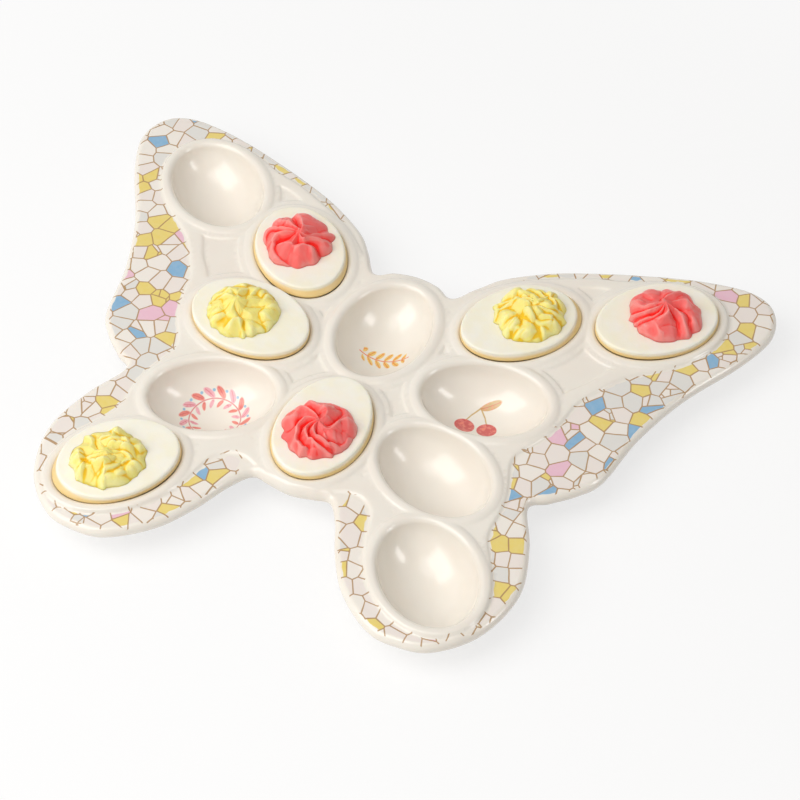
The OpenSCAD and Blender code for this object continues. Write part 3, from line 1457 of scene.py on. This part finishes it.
@dataclass
class EggWhite:
    """Half a boiled white: a round shell, a rolled rim at the cut and a hollow for the filling.

    The fit says how far the cut's broad end, narrow end and sides reach beyond a plain oval.
    """

    name: str
    well: Well
    length: float
    width: float
    cut_z: float
    fit: Triple
    seed: int
    rise: float = 0.8
    blunt_share: float = 0.48
    hollow_share: float = 0.05
    hollow_width: float = 29.0
    rim: float = 0.9
    roll: float = 1.3
    bulge: float = 1.45
    bulge_level: float = -4.1
    bulge_width: float = 1.5
    tuck: float = 4.8
    # Painted warm gap light and shade: where it starts below the cut, how far it follows a drawn-in cut,
    # how softly it starts and where it fades out lower down.
    painted_gap_level: float = -1.7
    painted_gap_follow: float = 0.35
    painted_gap_soft: float = 1.2
    painted_gap_fade: Pair = (-9.0, -4.0)
    wobble_share: float = 0.006
    wobble_waves: float = 1.3
    wobble_step: float = 7.1
    sides: int = 112
    shell_rings: int = 48
    shell_start: float = 0.05
    roll_rings: int = 10
    face_rings: int = 8
    hollow_rings: int = 8

    def outline(self, angle: Array, fit: Triple) -> Array:
        """Edge of the cut face by angle.

        Args:
            angle: Angles from the way that the broad end points.
            fit: How far the broad end, narrow end and sides reach beyond a plain oval.

        Returns:
            A place for each angle, along and across the egg.
        """
        blunt, point, side = fit
        middle = self.length * self.blunt_share
        reach = np.where(np.cos(angle) > 0, middle + blunt, self.length - middle + point)
        return np.stack([reach * np.cos(angle), (self.width / 2 + side) * np.sin(angle)], 1)

    def wobble(self, angle: Array) -> Array:
        """Small differences from a true oval, which no two eggs share."""
        spots = rays(angle) * self.wobble_waves
        return np.array([noise.noise(Vector((x, y, self.seed * self.wobble_step))) for x, y in spots])

    def swell(self, level: float) -> float:
        """How far the shell bulges out below the cut."""
        return self.bulge * math.exp(-((level - self.bulge_level) / self.bulge_width) ** 2)

    def profile(self) -> list[Triple]:
        """Rings of the shell from its lowest place up to the cut.

        Returns:
            For each ring its share of the outline, its shift outwards and its height from the cut.
        """
        depth = self.width / 2 + self.rise
        rings = []
        for turn in np.linspace(self.shell_start, QUARTER, self.shell_rings)[:-1]:
            level = -depth * math.cos(turn)
            if level < -self.rim:
                rings.append((math.sin(turn), self.swell(level), level))
        for turn in np.linspace(0, QUARTER, self.roll_rings):
            level = -self.rim * (1 - math.sin(turn))
            rings.append((1.0, self.swell(level) - self.roll * (1 - math.cos(turn)), level))
        return rings

    def painted_gap_weight(self, level: float, angle: Array) -> Array:
        """How strongly the painted warm gap light and shade shows at a height, lower down where the cut is
        drawn in.

        Args:
            level: Height from the cut.
            angle: Angles from the way that the broad end points.

        Returns:
            From 0 to 1 for each angle.
        """
        ends = np.where(np.cos(angle) > 0, self.fit[0], self.fit[1])
        reach = ends * np.cos(angle) ** 2 + self.fit[2] * np.sin(angle) ** 2
        below = level - (self.painted_gap_level - self.painted_gap_follow * np.minimum(reach, 0))
        return ease(below, 0.0, -self.painted_gap_soft) * ease(below, *self.painted_gap_fade)

    def cut_rings(self, rim: Array, angle: Array) -> list[Array]:
        """Rings across the cut face and down into the hollow.

        Args:
            rim: The ring at the cut's edge.
            angle: Angles of its points.

        Returns:
            The rings, from the edge inwards.
        """
        radius = self.hollow_width / 2
        middle = np.array([self.length * self.hollow_share, 0])
        mouth = rays(angle) * radius
        rings = []
        for share in np.linspace(0, 1, self.face_rings + 1)[1:]:
            flat = rim[:, :2] * (1 - share) + (mouth + middle) * share
            rings.append(np.column_stack([flat, np.zeros(self.sides)]))
        for turn in np.linspace(0, QUARTER, self.hollow_rings + 1)[1:-1]:
            flat = mouth * math.cos(turn) + middle
            rings.append(np.column_stack([flat, np.full(self.sides, -radius * math.sin(turn))]))
        return rings

    def offset(self) -> Array:
        """Where the widest place of the cut face lies in the well's frame."""
        return np.array([self.length * (0.5 - self.blunt_share), 0, self.cut_z + self.rise])

    def build(self, finish: bpy.types.Material) -> bpy.types.Object:
        """Makes the piece, and stores the weight of its painted gap light for the finish.

        Args:
            finish: The material of the egg whites.

        Returns:
            The object.
        """
        angle = np.linspace(0, TURN, self.sides, endpoint=False)
        trim = (1 - self.wobble_share * (1 + self.wobble(angle)))[:, None]
        base = self.outline(angle, (0.0, 0.0, 0.0)) * trim
        face = self.outline(angle, self.fit) * trim
        normal = base / np.array([self.length / 2, self.width / 2]) ** 2
        normal /= np.linalg.norm(normal, axis=1)[:, None]
        rings, painted_gap_light = [], []
        for share, shift, level in self.profile():
            edge = base + (face - base) * ease(level, -self.tuck, -self.rim)
            rings.append(np.column_stack([edge * share + normal * shift, np.full(self.sides, level)]))
            # Weight of the painted warm gap light and shade for this ring.
            painted_gap_light.append(self.painted_gap_weight(level, angle))
        rings += self.cut_rings(rings[-1], angle)
        patch = grid_patch(np.array(rings), first=True, last=True)
        patch.points = self.well.outward(patch.points + self.offset())
        piece = sew(self.name, [patch])
        store(piece.data, "painted_gap_light", np.array(painted_gap_light).ravel())
        piece.data.materials.append(finish)
        return piece


@dataclass
class Filling:
    """Paste piped with a star nozzle: sharp petals that wind up to a peak, over a plug in the hollow.

    Tongues are drawn between two sets of limits: their steep and gentle slopes, size and height.
    """

    name: str
    well: Well
    piping: Piping
    middle: float
    cut_z: float
    radius: float
    height: float
    plug: float
    seed: int
    petals: int
    twist: float
    rings: int = 64
    sides: int = 208
    plug_rings: int = 11
    sink: float = 0.4
    seed_step: float = 3.7
    petal_widths: Pair = (0.6, 1.4)
    petal_crests: Pair = (0.45, 0.8)
    petal_tops: Pair = (0.65, 1.2)
    petal_curve: float = 0.8
    petal_start: float = 0.4
    dollops: int = 20
    tongue_low: tuple[float, ...] = (0.7, 0.15, 4, -0.8)
    tongue_high: tuple[float, ...] = (1.3, 0.4, 10, 1.2)
    tongue_round: float = 0.15
    tongue_limit: float = 2.0
    lean: float = 0.2
    warp_share: float = 0.6
    twist_curve: float = 1.2
    edge_least: float = 0.9
    edge_share: float = 0.1
    edge_size: float = 0.35
    dome_flat: float = 2.6
    dome_curve: float = 0.62
    least_height: float = 0.15
    crease_passes: int = 14
    crease_depth: float = 0.5

    def cloud(self, spots: Array, size: float) -> Array:
        """Noise over the mound.

        Args:
            spots: Places in millimetres from the middle.
            size: Size of its lumps in millimetres.

        Returns:
            From -1 to 1 for each place.
        """
        shift = Vector((0, 0, self.seed * self.seed_step))
        found = [noise.noise(Vector((x / size, y / size, 0)) + shift) for x, y in spots.reshape(-1, 2)]
        return np.array(found).reshape(spots.shape[:-1])

    def roofs(self, turns: Array, rng: np.random.Generator) -> Array:
        """Cross-section of the petals: each rises to a crest and drops to a crease.

        Args:
            turns: Places round the peak, in whole turns.
            rng: Draws the petals' widths, crests and heights.

        Returns:
            0 in a crease and about 1 on a crest.
        """
        widths = rng.uniform(*self.petal_widths, self.petals)
        ends = np.concatenate([[0], np.cumsum(widths) / widths.sum()])
        crests = rng.uniform(*self.petal_crests, self.petals)
        tops = rng.uniform(*self.petal_tops, self.petals)
        turns = turns % 1
        petal = np.clip(np.searchsorted(ends, turns, side="right") - 1, 0, self.petals - 1)
        share = (turns - ends[petal]) / (ends[petal + 1] - ends[petal])
        crest = crests[petal]
        return tops[petal] * np.minimum(share / crest, (1 - share) / (1 - crest)) ** self.petal_curve

    def lumps(self, flat: Array, rng: np.random.Generator) -> Array:
        """Heights of ragged tongues, each a lopsided ridge, that meet in sharp creases.

        Args:
            flat: Places in millimetres from the middle.
            rng: Draws the tongues' places, ways, slopes and heights.

        Returns:
            Heights in millimetres, round 0.
        """
        heights = np.full(flat.shape[:-1], -self.tongue_limit)
        for _ in range(self.dollops):
            turn = rng.uniform(0, TURN)
            away = self.radius * rng.uniform(0, 1) ** 0.5
            way = rng.uniform(0, TURN)
            gap = flat - away * np.array([math.cos(turn), math.sin(turn)])
            across = gap @ np.array([math.cos(way), math.sin(way)])
            along = gap @ np.array([-math.sin(way), math.cos(way)])
            steep, gentle, size, top = rng.uniform(self.tongue_low, self.tongue_high)
            slope = np.where(across > 0, steep, gentle)
            ridge = np.hypot(across * slope, self.tongue_round)
            heights = np.maximum(heights, top - ridge - along ** 2 / (2 * size))
        return np.minimum(heights, self.tongue_limit)

    def mound(self) -> Array:
        """Shapes the upper side.

        Returns:
            Its points, ring by ring from the peak to the edge.
        """
        rng = np.random.default_rng(self.seed)
        shares = np.linspace(0, 1, self.rings + 1)[1:]
        angles = np.linspace(0, TURN, self.sides, endpoint=False)
        share, angle = np.meshgrid(shares, angles, indexing="ij")
        lean = rng.uniform(-self.lean, self.lean, 2) * self.radius
        flat = self.radius * share[..., None] * rays(angle)
        warp = self.piping.warp * self.cloud(flat, self.radius * self.warp_share)
        roof = self.roofs((angle + self.twist * (1 - share) ** self.twist_curve + warp) / TURN, rng)
        frill = self.edge_share * self.cloud(flat[-1], self.radius * self.edge_size)
        reach = self.edge_least + self.edge_share * roof[-1] + frill
        flat = flat * reach[None, :, None] + lean * (1 - share)[..., None]
        dome = (1 - share ** self.dome_flat) ** self.dome_curve
        cut = self.piping.relief * ease(share, 0.0, self.petal_start) * (1 - roof)
        ridges = 1 - np.abs(self.cloud(flat, self.piping.fold_size)) * 2
        rough = self.piping.fold_depth * ridges + self.piping.dollop_depth * self.lumps(flat, rng)
        rough += self.piping.grain_depth * self.cloud(flat, self.piping.grain_size)
        height = self.height * dome * (self.piping.rise - cut) + rough * dome ** 0.5
        return np.concatenate([flat, np.maximum(height, self.least_height * dome)[..., None]], -1)

    def creases(self, height: Array) -> Array:
        """How far points lie below the mean height round them.

        Args:
            height: Heights by ring and by place on the ring.

        Returns:
            From -1 on a ridge to 1 in a crease.
        """
        mean = height
        for _ in range(self.crease_passes):
            mean = (2 * mean + np.roll(mean, 1, 1) + np.roll(mean, -1, 1)) / 4
            mean = np.vstack([mean[:1], (mean[:-2] + 2 * mean[1:-1] + mean[2:]) / 4, mean[-1:]])
        return np.clip((mean - height) / self.crease_depth, -1, 1)

    def build(self, finish: bpy.types.Material) -> bpy.types.Object:
        """Makes the piece, and stores its creases for the finish.

        Args:
            finish: The material of this flavour.

        Returns:
            The object.
        """
        mound = self.mound()
        turn = np.linspace(0, QUARTER, self.plug_rings + 1)[:-1, None, None]
        edge = mound[-1] / np.linalg.norm(mound[-1, :, :2], axis=1)[:, None] * self.plug
        plug = edge * np.cos(turn) - np.array([0, 0, self.plug]) * np.sin(turn) - [0, 0, self.sink]
        patch = grid_patch(np.concatenate([mound, plug]), first=True, last=True)
        patch.points = self.well.outward(patch.points + [self.middle, 0, self.cut_z])
        piece = sew(self.name, [patch])
        store(piece.data, "fold", self.creases(mound[..., 2]).ravel())
        piece.data.materials.append(finish)
        return piece


@dataclass(frozen=True)
class Lamp:
    """A soft box in metres and watts, placed from the camera's azimuth. A card only shows as a gleam."""

    name: str
    azimuth: float
    elevation: float
    distance: float
    size: Pair
    power: float
    colour: Triple = (1.0, 1.0, 1.0)
    card: bool = False

    def make(self) -> bpy.types.Object:
        """Makes the lamp.

        Returns:
            The lamp, not yet placed.
        """
        data = bpy.data.lights.new(self.name, "AREA")
        data.shape = "RECTANGLE"
        data.size, data.size_y = self.size
        data.energy = self.power
        data.color = self.colour
        lamp = bpy.data.objects.new(self.name, data)
        lamp.visible_diffuse = not self.card
        return lamp


@dataclass
class Studio:
    """Camera, lamps, white floor and soft surroundings."""

    target: Triple = (25.33, -4.82, 23.0)
    azimuth: float = 24.057
    elevation: float = 48.674
    distance: float = 1248.0
    lens: float = 119.8
    sensor: float = 36.0
    view_end: float = 20.0
    floor_size: float = 6.0
    floor_colour: Colour = screen(254, 254, 254)
    glow: float = 0.7
    shadow_reach: Pair = (240.0, 700.0)
    daylight: Colour = (1.0, 0.985, 0.965, 1.0)
    daylight_strength: float = 0.42
    lamps: tuple[Lamp, ...] = (
        Lamp("key", -70, 47, 1.5, size=(1.2, 1.2), power=13.8, colour=(1.0, 0.985, 0.965)),
        Lamp("top", -30, 74, 1.3, size=(0.6, 0.6), power=2.0, colour=(1.0, 0.99, 0.98)),
        Lamp("side", 73, 33, 1.1, size=(0.26, 0.55), power=2.4, card=True),
    )

    def aim(self, thing: bpy.types.Object, azimuth: float, elevation: float, distance: float) -> None:
        """Puts a camera or lamp on the sky and points it at the object.

        Args:
            thing: The camera or lamp.
            azimuth: Its place round the object in degrees, 0 on the side of -Y.
            elevation: Its place above the floor in degrees.
            distance: How far it is from the object, in metres.
        """
        turn, rise = math.radians(azimuth), math.radians(elevation)
        flat = math.cos(rise)
        away = Vector((math.sin(turn) * flat, -math.cos(turn) * flat, math.sin(rise)))
        thing.location = Vector(self.target) * MM + away * distance
        thing.rotation_euler = away.to_track_quat("Z", "Y").to_euler()
        bpy.context.scene.collection.objects.link(thing)

    def camera(self) -> None:
        """Makes the camera at the photograph's viewing angle."""
        data = bpy.data.cameras.new("camera")
        data.lens = self.lens
        data.sensor_width = self.sensor
        data.clip_end = self.view_end
        camera = bpy.data.objects.new("camera", data)
        self.aim(camera, self.azimuth, self.elevation, self.distance * MM)
        bpy.context.scene.camera = camera

    def floor(self) -> None:
        """Makes the white floor, which shows the object's shadow."""
        half = self.floor_size / 2
        corners = [(x * half, y * half, 0) for x, y in ((-1, -1), (1, -1), (1, 1), (-1, 1))]
        mesh = bpy.data.meshes.new("floor")
        mesh.from_pydata(corners, [], [(0, 1, 2, 3)])
        floor = bpy.data.objects.new("floor", mesh)
        bpy.context.scene.collection.objects.link(floor)
        tree = Tree.of_material("white_floor")
        tree.dress(Base_Color=self.floor_colour, Roughness=0.9, Specular_IOR_Level=0.0)
        x, y, _ = tree.axes(tree.spot())
        far = x.span(y).ease(*self.shadow_reach)
        glowing = tree.seen() * (self.glow + far * (1 - self.glow))
        tree.overlay(glowing, tree.node("ShaderNodeEmission"))
        mesh.materials.append(tree.owner)

    def surroundings(self) -> None:
        """Makes the even light from all round, which shows as white."""
        world = bpy.data.worlds.new("studio")
        bpy.context.scene.world = world
        tree = Tree(world)
        tree.dress(Color=self.daylight, Strength=self.daylight_strength)
        white = {"Color": (1.0, 1.0, 1.0, 1.0), "Strength": 1.0}
        tree.overlay(tree.seen(), tree.node("ShaderNodeBackground", {}, white))

    def build(self) -> None:
        """Sets up everything that isn't the object."""
        self.camera()
        self.floor()
        self.surroundings()
        for lamp in self.lamps:
            self.aim(lamp.make(), self.azimuth + lamp.azimuth, lamp.elevation, lamp.distance)
        bpy.context.scene.view_settings.view_transform = "Standard"


@dataclass(frozen=True)
class Recipe:
    """One deviled egg: its filling's flavour, random seed, petals and twist, and the fit of its cut."""

    flavour: Flavour
    seed: int
    petals: int
    twist: float
    fit: Triple


@dataclass(frozen=True)
class Motif:
    """The painted glaze of one well, shifted in millimetres from its middle and turned in radians."""

    glaze: type[MotifGlaze]
    shift: Pair
    turn: float = 0.0

    def at(self, well: Well) -> MotifGlaze:
        """The glaze with its motif in a well."""
        return self.glaze(middle=(well.x + self.shift[0], well.y + self.shift[1]), turn=self.turn)


@dataclass
class Serving:
    """The platter with its eggs, as the frame places them."""

    eggs: dict[str, Recipe] = field(default_factory=lambda: {
        "forewing_left": Recipe(Flavour.PINK, seed=11, petals=7, twist=0.8, fit=(-0.4, -1.7, 0.0)),
        "tail": Recipe(Flavour.PINK, seed=23, petals=6, twist=1.4, fit=(0.6, 2.0, -0.1)),
        "tip_right": Recipe(Flavour.PINK, seed=35, petals=7, twist=-0.9, fit=(0.1, 0.6, 1.1)),
        "wing_left": Recipe(Flavour.YELLOW, seed=47, petals=5, twist=1.2, fit=(1.0, 1.0, 1.0)),
        "hindwing_left": Recipe(Flavour.YELLOW, seed=52, petals=6, twist=-1.3, fit=(-1.8, 0.0, 1.3)),
        "forewing_right": Recipe(Flavour.YELLOW, seed=64, petals=6, twist=1.6, fit=(-2.0, 0.6, 0.2)),
    })
    motifs: dict[str, Motif] = field(default_factory=lambda: {
        "head": Motif(SprigGlaze, (1, -4), math.radians(12)),
        "wing_right": Motif(CherryGlaze, (-3, 0), 0.35),
        "inner_left": Motif(WreathGlaze, (1, -1)),
    })
    plug_gap: float = 0.2

    def build(self) -> None:
        """Makes each piece and lets it ride on its body."""
        egg = np.array(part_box("egg_white_tail")) / MM
        ware = np.array(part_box("platter")) / MM
        width, length = (egg[1] - egg[0])[:2]
        cut_z = egg[1][2]
        layout = Layout(pitch=ware[1][0] / Layout.reach_share)
        platter = Platter(layout, ware[1][2], length, width, cut_z)
        wells = platter.wells
        motifs = {name: motif.at(wells[name]) for name, motif in self.motifs.items()}
        self.place(platter.build(motifs), "platter", "platter", "ceramic")
        white = EggWhiteFinish().material()
        pastes = {flavour: flavour.finish.material() for flavour in Flavour}
        for name, recipe in self.eggs.items():
            shell = EggWhite(
                f"boiled_white_{name}", wells[name], length, width, cut_z, recipe.fit, recipe.seed
            )
            self.place(shell.build(white), f"egg_{name}", f"egg_white_{name}", "egg_white")
            self.fill(name, shell, recipe, pastes[recipe.flavour])

    def fill(self, name: str, shell: EggWhite, recipe: Recipe, finish: bpy.types.Material) -> None:
        """Pipes the filling of one egg.

        Args:
            name: The egg's place.
            shell: Its white.
            recipe: What it is filled with.
            finish: The material of the paste.
        """
        low, high = np.array(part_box(f"filling_{name}")) / MM
        x, _, z = shell.offset()
        paste = Filling(
            f"piped_{name}",
            shell.well,
            recipe.flavour.piping,
            middle=x + shell.length * shell.hollow_share,
            cut_z=z,
            radius=(high - low)[:2].mean() / 2,
            height=high[2] - z,
            plug=shell.hollow_width / 2 - self.plug_gap,
            seed=recipe.seed,
            petals=recipe.petals,
            twist=recipe.twist,
        )
        self.place(paste.build(finish), f"egg_{name}", f"filling_{name}", recipe.flavour.slot)

    def place(self, piece: bpy.types.Object, body: str, node: str, slot: str) -> None:
        """Lets a piece stand for a node and ride on its body.

        Args:
            piece: The piece.
            body: The body that it moves with.
            node: The node that it replaces.
            slot: The record's material slot; not used.
        """
        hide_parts(node)
        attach(piece, body)
        log.info("%s: %d points on %s", piece.name, len(piece.data.vertices), body)


def write_sizes() -> None:
    """Brings the view layer up to date."""
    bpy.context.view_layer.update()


def main() -> None:
    """Builds the studio and the served platter."""
    Studio().build()
    Serving().build()
    write_sizes()


if __name__ == "__main__":
    main()
